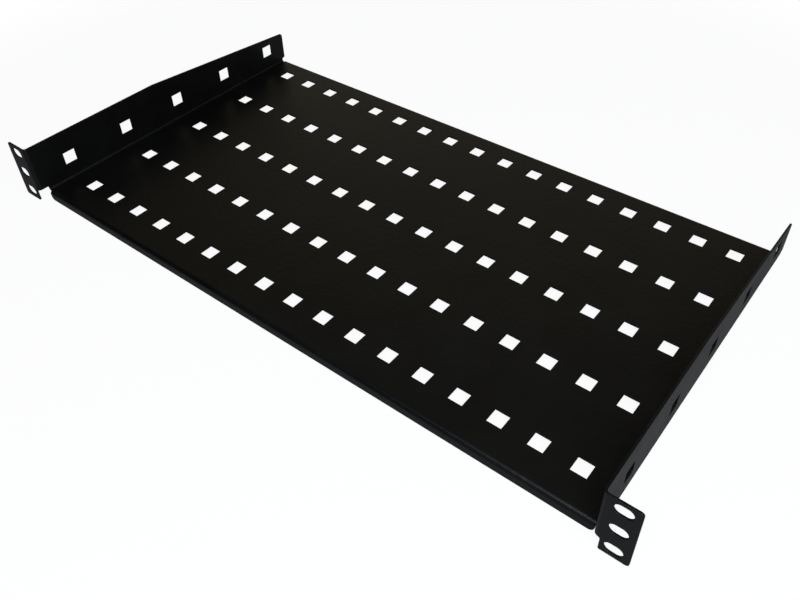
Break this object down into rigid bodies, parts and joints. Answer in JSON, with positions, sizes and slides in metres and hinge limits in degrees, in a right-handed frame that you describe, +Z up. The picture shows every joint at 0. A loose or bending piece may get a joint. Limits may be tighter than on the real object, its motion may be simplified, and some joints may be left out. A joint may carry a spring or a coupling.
{
  "type": "cantilever rack shelf",
  "caption": "One-piece folded steel tray for a 19-inch rack, with side flanges, slotted front ears, down-turned lips and a grid of square holes.",
  "frame": {"origin": "midway between the two ears' middle slots, in the plane of the ears' rear faces, which seat on the rack's front rails", "axes": "+X to the right across the rack, +Y from the ears to the back of the tray, +Z up"},
  "size_m": [0.4826, 0.25, 0.0446],
  "materials": {
    "powder_coated_steel": "satin black powder coat with a fine texture"
  },
  "bodies": {
    "root": {"shelf": "powder_coated_steel"}
  },
  "joints": []
}
